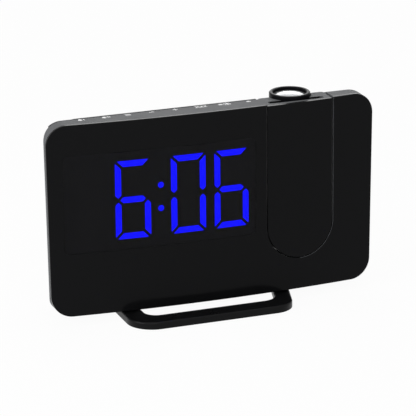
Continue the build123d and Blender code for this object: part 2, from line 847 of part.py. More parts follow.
with BuildPart() as key_switches:
    with BuildSketch(slope_plane.offset(switch_bottom)):
        with Locations(*[(x, key_down) for x in key_xs]):
            Rectangle(switch_side, switch_side)
    extrude(amount=switch_body_h)
    with BuildSketch(slope_plane.offset(switch_bottom + switch_body_h)):
        with Locations(*[(x, key_down) for x in key_xs]):
            Circle(switch_plunger_r)
    extrude(amount=switch_plunger_h)
finish(key_switches, "key_switches")

key_screw_plane = slope_plane.offset(key_board_bottom)
key_screw_heads = [tuple(key_screw_plane.from_local_coords(Vector(x, y, 0))) for x, y in key_post_places]
key_screws = screws_at(key_screw_heads, (180 - key_slope, 0, 0), small_screw_l, small_screw_r)
finish(key_screws, "key_board_screws")

# ---------------------------------------------------------------- electronics in the hump
with BuildPart() as main_board:
    with BuildSketch(front_view(main_board_y + board_t)):
        with Locations((main_board_x, main_board_z)):
            Rectangle(main_board_w, main_board_h)
        with Locations(*post_places):
            Circle(screw_r + pilot_gap, mode=Mode.SUBTRACT)
    extrude(amount=board_t)
finish(main_board, "main_board")

main_screw_heads = [(x, main_board_y, z) for x, z in post_places]
finish(screws_at(main_screw_heads, FROM_THE_FRONT, board_screw_l), "main_board_screws")

# Chips and connectors on the rear of the board, from its middle: (x, z, width, height, depth).
chips = [(6.0, -6.0, 14.0, 14.0, 1.6), (-12.0, -18.0, 8.0, 6.0, 1.4), (24.0, 4.0, 6.0, 10.0, 1.4),
         (-36.0, -20.0, 9.0, 4.5, 5.0), (20.0, -20.0, 4.0, 9.0, 4.0)]
capacitors = [(0.0, -22.0), (8.0, -22.0), (34.0, 2.0)]
capacitor_r = 3.1
capacitor_h = 8.0
board_back_y = main_board_y + board_t
with BuildPart() as board_components:
    for x, z, width, height, depth in chips:
        with BuildSketch(front_view(board_back_y + depth)):
            with Locations((main_board_x + x, main_board_z + z)):
                Rectangle(width, height)
        extrude(amount=depth)
    with BuildSketch(front_view(board_back_y + capacitor_h)):
        with Locations(*[(main_board_x + x, main_board_z + z) for x, z in capacitors]):
            Circle(capacitor_r)
    extrude(amount=capacitor_h)
finish(board_components, "board_components")

# Moulded inlet on the board, its nose through the shell, and the centre pin.
with BuildPart() as power_inlet:
    with BuildSketch(front_view(inner_rear)):
        with Locations((jack_x, jack_z)):
            Rectangle(jack_w, jack_h)
    extrude(amount=inner_rear - board_back_y)
    with BuildSketch(front_view(case_rear + knob_proud)):
        with Locations((jack_x, jack_z)):
            Circle(jack_nose_r)
    extrude(amount=shell_t + knob_proud)
    with BuildSketch(front_view(case_rear)):
        with Locations((jack_x, jack_z)):
            Circle(jack_bore_r)
    extrude(amount=jack_bore_depth, mode=Mode.SUBTRACT)
finish(power_inlet, "power_inlet")

with BuildPart() as inlet_pin:
    with BuildSketch(front_view(case_rear - 1.0)):
        with Locations((jack_x, jack_z)):
            Circle(jack_pin_r)
    extrude(amount=jack_bore_depth - 1.0)
    fillet(inlet_pin.faces().sort_by(Axis.Y)[-1].edges(), radius=0.4)
finish(inlet_pin, "inlet_pin")

# Speaker, faced to the grille: pressed basket, paper cone and magnet.
speaker_axis = Axis((speaker_x, inner_rear, speaker_z), (0, 1, 0))
speaker_plane = Plane(origin=(speaker_x, inner_rear, speaker_z), x_dir=(1, 0, 0), z_dir=(0, 0, 1))
basket_back = speaker_depth - magnet_h
basket_mouth_r = speaker_r - speaker_rim_in
pole_hole_r = pole_r + fit_gap
with BuildPart() as speaker_basket:
    with BuildSketch(speaker_plane):
        Polygon(
            (speaker_r, 0), (speaker_r, -speaker_rim_h), (basket_mouth_r + sheet_t / 2, -speaker_rim_h),
            (speaker_magnet_r, -basket_back), (pole_hole_r, -basket_back),
            (pole_hole_r, sheet_t - basket_back), (speaker_magnet_r - sheet_t / 2, sheet_t - basket_back),
            (basket_mouth_r, 0), align=None,
        )
    revolve(axis=speaker_axis)
finish(speaker_basket, "speaker_basket")

cone_rim_r = basket_mouth_r - 2 * cone_t
with BuildPart() as speaker_cone:
    with BuildSketch(speaker_plane):
        Polygon(
            (cone_rim_r, 0), (cone_rim_r, -cone_t), (cone_dome_r, -cone_depth), (0, -cone_depth),
            (0, cone_t - cone_depth), (cone_dome_r, cone_t - cone_depth), (cone_rim_r - cone_t, 0),
            align=None,
        )
    revolve(axis=speaker_axis)
finish(speaker_cone, "speaker_cone")

with BuildPart() as speaker_magnet:
    with BuildSketch(front_view(inner_rear - basket_back)):
        with Locations((speaker_x, speaker_z)):
            Circle(speaker_magnet_r)
    extrude(amount=magnet_h)
    with BuildSketch(front_view(inner_rear - basket_back + pole_h)):
        with Locations((speaker_x, speaker_z)):
            Circle(pole_r)
    extrude(amount=pole_h)
finish(speaker_magnet, "speaker_magnet")

# Coin cell that keeps the time: tray, spring contact, cell, door and door screw.
cell_front = inner_rear - cell_play - cell_t
with BuildPart() as cell_tray:
    with BuildSketch(front_view(inner_rear)):
        with Locations((cell_x, cell_z)):
            Rectangle(2 * (cell_r + tray_wall), 2 * cell_r + 1.5 * tray_wall)
        with Locations((cell_x, door_screw_z)):
            Circle(post_r, mode=Mode.SUBTRACT)
    extrude(amount=tray_depth)
    with BuildSketch(front_view(inner_rear)):
        with Locations((cell_x, cell_z)):
            Circle(cell_r + fit_gap)
    extrude(amount=inner_rear - cell_front + contact_t, mode=Mode.SUBTRACT)
finish(cell_tray, "cell_tray")

with BuildPart() as cell_contact:
    with BuildSketch(front_view(cell_front)):
        with Locations((cell_x, cell_z)):
            SlotOverall(2 * cell_r - 4.0, contact_w)
    extrude(amount=contact_t)
finish(cell_contact, "cell_contact")

with BuildPart() as coin_cell:
    with BuildSketch(front_view(cell_front + cell_t)):
        with Locations((cell_x, cell_z)):
            Circle(cell_r)
    extrude(amount=cell_t)
    fillet(coin_cell.edges(), radius=0.3)
finish(coin_cell, "coin_cell")

with BuildPart() as cell_door:
    with BuildSketch(front_view(case_rear)):
        with Locations((cell_x, door_bottom)):
            Rectangle(door_w, door_top - door_bottom, align=(Align.CENTER, Align.MIN))
        with Locations((cell_x, door_screw_z)):
            Circle(screw_r + fit_gap, mode=Mode.SUBTRACT)
    extrude(amount=door_t)
    with BuildSketch(front_view(case_rear - door_t)):
        with Locations((cell_x, cell_z)):
            Circle(cell_r - 1.0)
    extrude(amount=case_rear - door_t - cell_front - cell_t - seat_gap)
    with BuildSketch(front_view(case_rear)):
        with Locations((cell_x, door_screw_z)):
            Circle(screw_head_r + fit_gap)
    extrude(amount=door_head_t, mode=Mode.SUBTRACT)
finish(cell_door, "cell_door")
door_screw_head = [(cell_x, case_rear - door_head_t, door_screw_z)]
finish(screws_at(door_screw_head, FROM_BEHIND, door_screw_l, head_t=door_head_t), "cell_door_screw")

# Slide switch: knob with a flange behind the slot, body, and a small board on two posts.
knob_rest_x = slider_x - slider_travel / 2
slider_body_top = inner_rear - seat_gap - knob_flange_t - seat_gap
with BuildPart() as slide_knob:
    with BuildSketch(front_view(case_rear + knob_proud)):
        with Locations((knob_rest_x, slider_z)):
            RectangleRounded(slider_w, slider_h, 0.5)
    extrude(amount=shell_t + knob_proud + seat_gap)
    with BuildSketch(front_view(inner_rear - seat_gap)):
        with Locations((knob_rest_x, slider_z)):
            Rectangle(slider_w + 3.0, slider_h + 2.0)
    extrude(amount=knob_flange_t)
finish(slide_knob, "slide_knob")

with BuildPart() as slide_switch:
    with BuildSketch(front_view(slider_body_top)):
        with Locations((slider_x, slider_z)):
            Rectangle(slider_body_w, slider_body_h)
    extrude(amount=slider_body_top - slider_board_y)
finish(slide_switch, "slide_switch")

with BuildPart() as slider_board:
    with BuildSketch(front_view(slider_board_y)):
        with Locations((slider_x, slider_z)):
            Rectangle(slider_board_w, slider_board_h)
        with Locations(*slider_post_places):
            Circle(screw_r, mode=Mode.SUBTRACT)
    extrude(amount=key_board_t)
finish(slider_board, "slider_board")
slider_screw_heads = [(x, slider_board_y - key_board_t, z) for x, z in slider_post_places]
slider_screws = screws_at(slider_screw_heads, FROM_THE_FRONT, small_screw_l, small_screw_r)
finish(slider_screws, "slider_board_screws")

# ---------------------------------------------------------------- foot
foot_screw_seat = pad_proud + foot_screw_recess + screw_head_t
foot_screw_places = leg_places(front_foot_y) + leg_places(rear_foot_y)
pad_places = leg_places(foot_front + front_pad_back) + leg_places(case_rear - rear_pad_up, rear_pad_in)


def loop_outline(left_in, right_in, front_in, rear_in, radii):
    """Top view of the foot's outside, or of its opening: the corners go round from the front left."""
    front, rear, left = foot_front + front_in, case_rear - rear_in, foot_left + left_in
    corners = [(left, front), (foot_right(front) - right_in, front),
               (foot_right(rear) - right_in, rear), (left, rear)]
    with BuildSketch() as outline:
        Polygon(*corners, align=None)
        for corner, radius in zip(corners, radii):
            fillet(outline.vertices().sort_by_distance((*corner, 0))[0], radius=radius)
    return outline.sketch


foot_radii = (foot_left_r, foot_right_r, foot_rear_r, foot_rear_r)
opening_radii = (foot_inner_left_r, foot_inner_right_r, foot_inner_rear_r, foot_inner_rear_r)
foot_opening = loop_outline(foot_left_leg_w, foot_right_leg_w, foot_bar_w, foot_rear_bar_w, opening_radii)
with BuildPart() as foot:
    with BuildSketch(Plane.XY.offset(pad_proud)):
        add(loop_outline(0, 0, 0, 0, foot_radii))
        add(foot_opening, mode=Mode.SUBTRACT)
    extrude(amount=foot_t)
    fillet(foot.faces().sort_by(Axis.Z)[-1].edges(), radius=foot_edge_r)
    for y, seat in ((front_foot_y, case_bottom), (rear_foot_y, shell_bottom)):
        with BuildSketch(Plane.XY.offset(foot_screw_seat)):
            with Locations(*leg_places(y)):
                Circle(foot_boss_r)
        extrude(amount=seat - foot_screw_seat)
    with BuildSketch(Plane.XY):
        with Locations(*foot_screw_places):
            Circle(foot_screw_r + fit_gap)
    extrude(amount=shell_bottom, mode=Mode.SUBTRACT)
    with BuildSketch(Plane.XY):
        with Locations(*foot_screw_places):
            Circle(foot_screw_head_r + fit_gap)
    extrude(amount=foot_screw_seat, mode=Mode.SUBTRACT)
    with BuildSketch(Plane.XY):
        with Locations(*pad_places):
            Circle(pad_r)
    extrude(amount=pad_t, mode=Mode.SUBTRACT)
finish(foot, "foot")

with BuildPart() as foot_pads:
    with BuildSketch(Plane.XY):
        with Locations(*pad_places):
            Circle(pad_r)
    extrude(amount=pad_t)
finish(foot_pads, "foot_pads")

foot_screw_heads = [(x, y, foot_screw_seat) for x, y in foot_screw_places]
foot_screw_l = foot_column_top - foot_pilot_end - foot_screw_clear - foot_screw_seat
foot_screws = screws_at(foot_screw_heads, FROM_BELOW, foot_screw_l, foot_screw_r, foot_screw_head_r)
finish(foot_screws, "foot_screws")

# ---------------------------------------------------------------- projector arm
arm_inner_r = arm_r - arm_wall
cover_front = slab_back - arm_cover_t
arm_screw_places = [(arm_x, channel_z - arm_screw_drop)]
arm_screw_places += [(arm_x + side * arm_screw_x, hinge_z + arm_screw_rise) for side in (-1, 1)]
pin_inner_x = arm_inner_r - pin_boss_length


def slot_shape():
    """Top view of the slot in front of the focus ring, with the round pocket for the ring."""
    slot_front = front_at(arm_x, panel_t + arm_lip)
    with BuildSketch() as slot:
        with Locations((slot_x, slot_front)):
            RectangleRounded(
                slot_width, front_y + slot_back - slot_front, slot_corner_r, align=(Align.CENTER, Align.MIN),
            )
        with Locations((arm_x, barrel_y)):
            Circle(pocket_r)
        with Locations((arm_x, slot_front)):
            Rectangle(4 * pocket_r, 4 * pocket_r, align=(Align.CENTER, Align.MAX), mode=Mode.SUBTRACT)
    return slot.sketch


with BuildPart() as arm_panel:
    add(bowed_block(0, back_depth=panel_t))
    with BuildSketch(front_view(slab_back)):
        add(u_outline(arm_r, arm_top))
    extrude(amount=2 * slab_depth, mode=Mode.INTERSECT)
    add(swing_envelope(), mode=Mode.INTERSECT)
finish(arm_panel, "arm_panel")

with BuildPart() as arm_cavity:
    add(bowed_block(panel_t + arm_lip, back=slab_back + 1))
    with BuildSketch(front_view(slab_back + 1)):
        add(u_outline(arm_inner_r, deck_bottom))
        with Locations(*arm_screw_places):
            Circle(arm_boss_r, mode=Mode.SUBTRACT)
    extrude(amount=2 * slab_depth, mode=Mode.INTERSECT)
    for side in (-1, 1):
        with BuildSketch(Plane.YZ.offset(arm_x + side * pin_inner_x)):
            with Locations((hinge_y, hinge_z)):
                Circle(pin_boss_r)
        extrude(amount=side * pin_boss_length, mode=Mode.SUBTRACT)

# Silver tongue: lip and walls round a hollow, with a slotted deck that overhangs at the back.
with BuildPart() as arm_frame:
    add(bowed_block(panel_t, back=slab_back))
    with BuildSketch(front_view(slab_back)):
        add(u_outline(arm_r, arm_top))
    extrude(amount=2 * slab_depth, mode=Mode.INTERSECT)
    add(swing_envelope(), mode=Mode.INTERSECT)
    add(arm_cavity.part, mode=Mode.SUBTRACT)
    with BuildSketch(Plane.XY.offset(deck_bottom)):
        with Locations((arm_x, slab_back + arm_deck_back)):
            RectangleRounded(
                2 * arm_r, arm_deck_back + slab_depth / 2, arm_deck_r, align=(Align.CENTER, Align.MAX),
            )
    extrude(amount=arm_deck_t)
    with BuildSketch(Plane.XY.offset(deck_bottom - 1)):
        add(slot_shape())
    extrude(amount=case_height, mode=Mode.SUBTRACT)
    with BuildSketch(front_view(slab_back)):
        add(u_outline(arm_r + 1, deck_bottom))
    extrude(amount=arm_cover_t, mode=Mode.SUBTRACT)
    with BuildSketch(front_view(cover_front)):
        with Locations(*arm_screw_places):
            Circle(screw_r + pilot_gap)
    extrude(amount=case_screw_l - arm_cover_t + pilot_extra, mode=Mode.SUBTRACT)
    with BuildSketch(Plane.YZ.offset(arm_x - arm_r - 1)):
        with Locations((hinge_y, hinge_z)):
            Circle(pin_r + pilot_gap / 2)
    extrude(amount=2 * arm_r + 2, mode=Mode.SUBTRACT)
finish(arm_frame, "arm_frame")


def housing_outline(radius):
    """Top view of the barrel housing: round behind, straight where it meets the arm."""
    with BuildSketch() as outline:
        with Locations((arm_x, barrel_y)):
            Circle(radius)
            Rectangle(2 * radius, barrel_y - cover_front, align=(Align.CENTER, Align.MAX))
        with Locations((arm_x, cover_front)):
            Rectangle(4 * radius, 4 * radius, align=(Align.CENTER, Align.MAX), mode=Mode.SUBTRACT)
    return outline.sketch


# Dark cover: closes the tongue's back and wraps round the barrel.
with BuildPart() as arm_cover:
    with BuildSketch(front_view(slab_back)):
        add(u_outline(arm_r, deck_bottom))
    extrude(amount=arm_cover_t)
    add(swing_envelope(), mode=Mode.INTERSECT)
    with BuildSketch(Plane.XY.offset(housing_bottom)):
        add(housing_outline(housing_r))
    extrude(amount=housing_top - housing_bottom)
    with BuildSketch(Plane.XY.offset(housing_floor)):
        with Locations((arm_x, barrel_y)):
            Circle(housing_r - housing_wall)
            Rectangle(2 * (housing_r - housing_wall), case_depth, align=(Align.CENTER, Align.MAX))
    extrude(amount=housing_top - housing_wall - housing_floor, mode=Mode.SUBTRACT)
    with BuildSketch(Plane.XY.offset(housing_floor)):
        with Locations((arm_x, barrel_y)):
            Circle(tube_r + running_gap)
    extrude(amount=case_height, mode=Mode.SUBTRACT)
    with BuildSketch(Plane.XY.offset(housing_top)):
        with Locations((arm_x, barrel_y)):
            Circle(pocket_r)
    extrude(amount=case_height, mode=Mode.SUBTRACT)
    with BuildSketch(front_view(slab_back)):
        with Locations(*arm_screw_places):
            Circle(screw_r + 2 * fit_gap)
    extrude(amount=arm_cover_t, mode=Mode.SUBTRACT)
finish(arm_cover, "arm_cover")
arm_screw_heads = [(x, slab_back, z) for x, z in arm_screw_places]
finish(screws_at(arm_screw_heads, FROM_BEHIND, case_screw_l), "arm_screws")

with BuildPart() as hinge_pins:
    for side in (-1, 1):
        with BuildSketch(Plane.YZ.offset(arm_x + side * (channel_r + bush_length - pin_short))):
            with Locations((hinge_y, hinge_z)):
                Circle(pin_r)
        extrude(amount=-side * pin_length)
finish(hinge_pins, "hinge_pins")

with BuildPart() as friction_washers:
    for side in (-1, 1):
        with BuildSketch(Plane.YZ.offset(arm_x + side * arm_r)):
            with Locations((hinge_y, hinge_z)):
                Circle(washer_r)
                Circle(pin_r + running_gap, mode=Mode.SUBTRACT)
        extrude(amount=side * washer_t)
finish(friction_washers, "friction_washers")

# ---------------------------------------------------------------- projector, on one upright axis
barrel_axis = Axis((arm_x, barrel_y, 0), (0, 0, 1))
barrel_plane = Plane(origin=(arm_x, barrel_y, 0), x_dir=(1, 0, 0), z_dir=(0, -1, 0))
condenser_z = tube_bottom + condenser_rise
image_z = tube_bottom + image_rise
cell_top = tube_top + cell_above_tube
cell_bottom = cell_top - cell_h
lens_seat = cell_top - lens_edge_t - cell_lip

with BuildPart() as projector_tube:
    with BuildSketch(barrel_plane):
        Polygon(
            (tube_bore_r, tube_bottom), (tube_r, tube_bottom), (tube_r, tube_top), (tube_bore_r, tube_top),
            (tube_bore_r, image_z), (tube_bore_r - ledge, image_z), (tube_bore_r - ledge, image_z - ledge),
            (tube_bore_r, image_z - ledge), (tube_bore_r, condenser_z), (tube_bore_r - ledge, condenser_z),
            (tube_bore_r - ledge, condenser_z - ledge), (tube_bore_r, condenser_z - ledge), align=None,
        )
    revolve(axis=barrel_axis)
finish(projector_tube, "projector_tube")

# Focus ring: fluted skirt that turns on the tube, with a lip over the lens.
with BuildPart() as focus_ring:
    with BuildSketch(barrel_plane):
        Polygon(
            (tube_r + running_gap, ring_bottom), (ring_r - 0.3, ring_bottom), (ring_r, ring_bottom + 0.3),
            (ring_r, ring_top - 0.5), (ring_r - 0.5, ring_top), (ring_lip_r + 0.5, ring_top),
            (ring_lip_r, ring_top - 0.5), (ring_lip_r, ring_top - ring_lip_t),
            (tube_r + running_gap, ring_top - ring_lip_t), align=None,
        )
    revolve(axis=barrel_axis)
    with BuildSketch(Plane.XY.offset(ring_bottom)):
        with Locations((arm_x, barrel_y)):
            with PolarLocations(ring_r + groove_out, ring_grooves):
                Circle(groove_r)
    extrude(amount=ring_h - ring_lip_t, mode=Mode.SUBTRACT)
finish(focus_ring, "focus_ring")

with BuildPart() as lens_cell:
    with BuildSketch(barrel_plane):
        Polygon(
            (lens_r - cell_wall, cell_bottom), (tube_bore_r - running_gap, cell_bottom),
            (tube_bore_r - running_gap, cell_top), (lens_r, cell_top), (lens_r, lens_seat),
            (lens_r - cell_wall, lens_seat), align=None,
        )
    revolve(axis=barrel_axis)
finish(lens_cell, "lens_cell")


def lens(radius, bottom, edge_t, crown):
    """Round lens, flat below and domed above, on the barrel axis."""
    with BuildPart() as glass:
        with BuildSketch(barrel_plane):
            with BuildLine():
                Line((0, bottom), (0, bottom + edge_t + crown))
                SagittaArc((0, bottom + edge_t + crown), (radius, bottom + edge_t), crown / 4)
                Line((radius, bottom + edge_t), (radius, bottom))
                Line((radius, bottom), (0, bottom))
            make_face()
        revolve(axis=barrel_axis)
    return glass


finish(lens(lens_r, lens_seat, lens_edge_t, lens_crown), "projection_lens")
finish(lens(tube_bore_r - running_gap, condenser_z, condenser_edge_t, condenser_crown), "condenser_lens")

# Liquid-crystal image plate in its round carrier.
with BuildPart() as image_carrier:
    with BuildSketch(Plane.XY.offset(image_z)):
        with Locations((arm_x, barrel_y)):
            Circle(tube_bore_r - running_gap)
            Rectangle(image_w, image_h, mode=Mode.SUBTRACT)
    extrude(amount=image_carrier_t)
finish(image_carrier, "image_carrier")

with BuildPart() as image_plate:
    with BuildSketch(Plane.XY.offset(image_z + (image_carrier_t - image_t) / 2)):
        with Locations((arm_x, barrel_y)):
            Rectangle(image_w, image_h)
    extrude(amount=image_t)
finish(image_plate, "image_plate")

with BuildPart() as led_board:
    with BuildSketch(Plane.XY.offset(led_board_bottom)):
        with Locations((arm_x, barrel_y)):
            Circle(tube_r)
    extrude(amount=led_board_t)
finish(led_board, "led_board")

with BuildPart() as projector_led:
    with BuildSketch(Plane.XY.offset(tube_bottom)):
        with Locations((arm_x, barrel_y)):
            Rectangle(led_side, led_side)
    extrude(amount=led_body_h)
    with BuildSketch(Plane.XY.offset(tube_bottom + led_body_h)):
        with Locations((arm_x, barrel_y)):
            Circle(led_dome_r)
    extrude(amount=led_dome_h, taper=25)
finish(projector_led, "projector_led")

with BuildPart() as led_heatsink:
    with BuildSketch(Plane.XY.offset(housing_floor)):
        with Locations((arm_x, barrel_y)):
            Circle(tube_r)
            with GridLocations(heatsink_pitch, 0, heatsink_slots, 1):
                Rectangle(heatsink_slot_w, 2 * tube_r, mode=Mode.SUBTRACT)
    extrude(amount=heatsink_h - heatsink_base_t)
    with BuildSketch(Plane.XY.offset(led_board_bottom - heatsink_base_t)):
        with Locations((arm_x, barrel_y)):
            Circle(tube_r)
    extrude(amount=heatsink_base_t)
finish(led_heatsink, "led_heatsink")
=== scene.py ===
import json
import math

import bmesh
import bpy
from mathutils import Matrix, Vector


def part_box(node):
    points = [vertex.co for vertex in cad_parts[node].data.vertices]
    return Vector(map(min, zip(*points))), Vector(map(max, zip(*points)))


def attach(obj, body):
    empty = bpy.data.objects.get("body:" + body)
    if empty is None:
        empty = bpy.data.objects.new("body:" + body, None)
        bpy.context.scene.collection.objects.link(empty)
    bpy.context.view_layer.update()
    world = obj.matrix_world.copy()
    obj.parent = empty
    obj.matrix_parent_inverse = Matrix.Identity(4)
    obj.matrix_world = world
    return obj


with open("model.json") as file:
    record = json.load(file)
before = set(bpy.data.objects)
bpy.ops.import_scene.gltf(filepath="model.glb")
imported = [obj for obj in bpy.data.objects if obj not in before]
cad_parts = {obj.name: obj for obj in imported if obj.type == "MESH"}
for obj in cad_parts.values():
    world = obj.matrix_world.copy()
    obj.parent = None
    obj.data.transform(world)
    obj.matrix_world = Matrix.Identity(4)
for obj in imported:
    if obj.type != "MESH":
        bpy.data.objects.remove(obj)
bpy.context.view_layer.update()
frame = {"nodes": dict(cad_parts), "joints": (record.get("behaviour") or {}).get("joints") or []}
nodes = frame["nodes"]

# ---------------------------------------------------------------- camera
# A long lens, so that the clock's sides stay nearly parallel, seen from a little above and from
# round to its left. It stands about 1.6 m off.
camera_data = bpy.data.cameras.new("camera")
camera_data.lens = 250.9
camera_data.sensor_width = 36.0
camera_data.clip_start = 0.05
camera_data.clip_end = 20.0
camera = bpy.data.objects.new("camera", camera_data)
bpy.context.scene.collection.objects.link(camera)
camera.location = (-0.53314, -1.43822, 0.55498)
camera.rotation_euler = [math.radians(angle) for angle in (72.005, 0.476, -20.462)]
bpy.context.scene.camera = camera
bpy.context.scene.view_settings.view_transform = "Standard"


# ---------------------------------------------------------------- studio
# A plain white room that lights softly from all sides, with wide lamps at the left, overhead, in
# front and behind. Gloss and glass show the walls at full white.
def seen_or_mirrored(tree):
    """One for the camera's own rays and for those that come by way of gloss or glass."""
    ray = tree.nodes.new("ShaderNodeLightPath")
    brightest = ray.outputs["Is Camera Ray"]
    for kind in ("Is Transmission Ray", "Is Glossy Ray"):
        either = tree.nodes.new("ShaderNodeMath")
        either.operation = "MAXIMUM"
        tree.links.new(brightest, either.inputs[0])
        tree.links.new(ray.outputs[kind], either.inputs[1])
        brightest = either.outputs[0]
    return brightest


world = bpy.data.worlds.new("studio")
bpy.context.scene.world = world
world.use_nodes = True
room = world.node_tree
room.nodes.clear()
soft_light = room.nodes.new("ShaderNodeBackground")
soft_light.inputs["Color"].default_value = (1.0, 1.0, 1.0, 1.0)
soft_light.inputs["Strength"].default_value = 0.42
white_wall = room.nodes.new("ShaderNodeBackground")
white_wall.inputs["Color"].default_value = (1.0, 1.0, 1.0, 1.0)
white_wall.inputs["Strength"].default_value = 1.0
room_mix = room.nodes.new("ShaderNodeMixShader")
room_out = room.nodes.new("ShaderNodeOutputWorld")
room.links.new(seen_or_mirrored(room), room_mix.inputs[0])
room.links.new(soft_light.outputs[0], room_mix.inputs[1])
room.links.new(white_wall.outputs[0], room_mix.inputs[2])
room.links.new(room_mix.outputs[0], room_out.inputs["Surface"])


def softbox(name, place, target, size, watts):
    """A square area lamp at a place, turned towards a target."""
    data = bpy.data.lights.new(name, "AREA")
    data.shape = "SQUARE"
    data.size = size
    data.energy = watts
    lamp = bpy.data.objects.new(name, data)
    bpy.context.scene.collection.objects.link(lamp)
    lamp.location = place
    lamp.rotation_mode = "QUATERNION"
    lamp.rotation_quaternion = (Vector(target) - Vector(place)).to_track_quat("-Z", "Y")


middle = (0.0, 0.0, 0.06)
softbox("left_lamp", (-1.15, -0.30, 0.45), middle, 0.7, 8.0)
softbox("overhead_lamp", (0.10, 0.15, 1.25), middle, 0.8, 3.0)
softbox("front_lamp", (-0.30, -1.20, 0.90), middle, 0.6, 4.0)
softbox("back_lamp", (0.60, 1.35, 0.60), middle, 0.7, 3.0)

# ---------------------------------------------------------------- floor
# A pale painted table under the clock. It looks nearly white to the camera and in gloss, and the
# little that is left of its own paint keeps a faint shadow.
floor_mesh = bmesh.new()
bmesh.ops.create_grid(floor_mesh, x_segments=1, y_segments=1, size=3.0)
floor_data = bpy.data.meshes.new("floor")
floor_mesh.to_mesh(floor_data)
floor_mesh.free()
floor = bpy.data.objects.new("floor", floor_data)
bpy.context.scene.collection.objects.link(floor)
table_paint = bpy.data.materials.new("table_paint")
table_paint.use_nodes = True
table = table_paint.node_tree
table.nodes.clear()
table_top = table.nodes.new("ShaderNodeBsdfDiffuse")
table_top.inputs["Color"].default_value = (0.86, 0.86, 0.86, 1.0)
table_white = table.nodes.new("ShaderNodeEmission")
table_white.inputs["Color"].default_value = (1.0, 1.0, 1.0, 1.0)
table_white.inputs["Strength"].default_value = 1.0
table_share = table.nodes.new("ShaderNodeMath")
table_share.operation = "MULTIPLY"
table_share.inputs[1].default_value = 0.95
table_mix = table.nodes.new("ShaderNodeMixShader")
table_out = table.nodes.new("ShaderNodeOutputMaterial")
table.links.new(seen_or_mirrored(table), table_share.inputs[0])
table.links.new(table_share.outputs[0], table_mix.inputs[0])
table.links.new(table_top.outputs[0], table_mix.inputs[1])
table.links.new(table_white.outputs[0], table_mix.inputs[2])
table.links.new(table_mix.outputs[0], table_out.inputs["Surface"])
floor_data.materials.append(table_paint)

# ---------------------------------------------------------------- front frame
# The grey moulding that makes the top face, the ends and the walls of the arm's channel.
# Injection-moulded ABS with a fine satin texture and softly broken edges, screwed to the rear shell.
patches_per_metre = 45.0


def moulded(name, colour, roughness, grain=0.00035, grain_height=0.000004, patch=0.04, edge=0.0003,
            level=0.5):
    """Moulded plastic: fine grain in the surface, faint patches in gloss and colour, broken edges."""
    material = bpy.data.materials.new(name)
    material.use_nodes = True
    made, links = material.node_tree.nodes, material.node_tree.links
    shader = made["Principled BSDF"]
    shader.inputs["Specular IOR Level"].default_value = level
    where = made.new("ShaderNodeTexCoord")
    speckle = made.new("ShaderNodeTexNoise")
    speckle.inputs["Scale"].default_value = 1.0 / grain
    speckle.inputs["Detail"].default_value = 2.0
    links.new(where.outputs["Object"], speckle.inputs["Vector"])
    cloud = made.new("ShaderNodeTexNoise")
    cloud.inputs["Scale"].default_value = patches_per_metre
    cloud.inputs["Detail"].default_value = 3.0
    links.new(where.outputs["Object"], cloud.inputs["Vector"])
    gloss = made.new("ShaderNodeMapRange")
    gloss.inputs["From Min"].default_value = 0.3
    gloss.inputs["From Max"].default_value = 0.7
    gloss.inputs["To Min"].default_value = max(roughness - patch, 0.02)
    gloss.inputs["To Max"].default_value = roughness + patch
    links.new(cloud.outputs["Fac"], gloss.inputs["Value"])
    links.new(gloss.outputs["Result"], shader.inputs["Roughness"])
    tone = made.new("ShaderNodeMix")
    tone.data_type = "RGBA"
    tone.inputs["A"].default_value = (*[c * 0.97 for c in colour], 1.0)
    tone.inputs["B"].default_value = (*[min(c * 1.03, 1.0) for c in colour], 1.0)
    links.new(speckle.outputs["Fac"], tone.inputs["Factor"])
    links.new(tone.outputs["Result"], shader.inputs["Base Color"])
    broken_edge = made.new("ShaderNodeBevel")
    broken_edge.samples = 4
    broken_edge.inputs["Radius"].default_value = edge
    relief = made.new("ShaderNodeBump")
    relief.inputs["Strength"].default_value = 1.0
    relief.inputs["Distance"].default_value = grain_height
    links.new(speckle.outputs["Fac"], relief.inputs["Height"])
    links.new(broken_edge.outputs["Normal"], relief.inputs["Normal"])
    links.new(relief.outputs["Normal"], shader.inputs["Normal"])
    return material


def dress(material, *names):
    """Give CAD nodes their finish."""
    for name in names:
        nodes[name].data.materials.clear()
        nodes[name].data.materials.append(material)


silver = moulded("silver_abs", (0.122, 0.125, 0.130), 0.5, level=0.04)
dress(silver, "front_frame", "arm_frame")

# ---------------------------------------------------------------- icons along the top
# White screen-printed marks at the back edge of the top, one in front of each key.
# The ink is opaque and a few hundredths of a millimetre thick. The last three marks stand a little
# to the right of their keys.
ink = moulded("white_ink", (0.86, 0.86, 0.86), 0.5, grain=0.0002, edge=0.00002)
ink_t = 0.00004
icon_inset = 0.0018
line = 0.0005
stroke_l = 0.0024
sign_l = 0.0030
sign_t = 1.4 * line
frame_back, top_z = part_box("front_frame")[1][1:]
icon_y = frame_back - icon_inset


def bar(mesh, x, y, w, h, turn=0.0):
    """A printed rectangle, turned about its middle."""
    made = bmesh.ops.create_grid(mesh, x_segments=1, y_segments=1, size=0.5)
    bmesh.ops.scale(mesh, verts=made["verts"], vec=(w, h, 1.0))
    bmesh.ops.rotate(mesh, verts=made["verts"], matrix=Matrix.Rotation(turn, 3, "Z"))
    bmesh.ops.translate(mesh, verts=made["verts"], vec=(x, y, 0.0))


def outline(mesh, *corners):
    """A printed shape with the given corners."""
    mesh.faces.new([mesh.verts.new((x, y, 0.0)) for x, y in corners])


def bell(mesh):
    """A bell with its clapper."""
    outline(mesh, (-0.0014, -0.0010), (0.0014, -0.0010), (0.0010, -0.0003), (0.0009, 0.0007),
            (0.0004, 0.0013), (-0.0004, 0.0013), (-0.0009, 0.0007), (-0.0010, -0.0003))
    bar(mesh, 0.0, -0.0014, 0.0009, line)


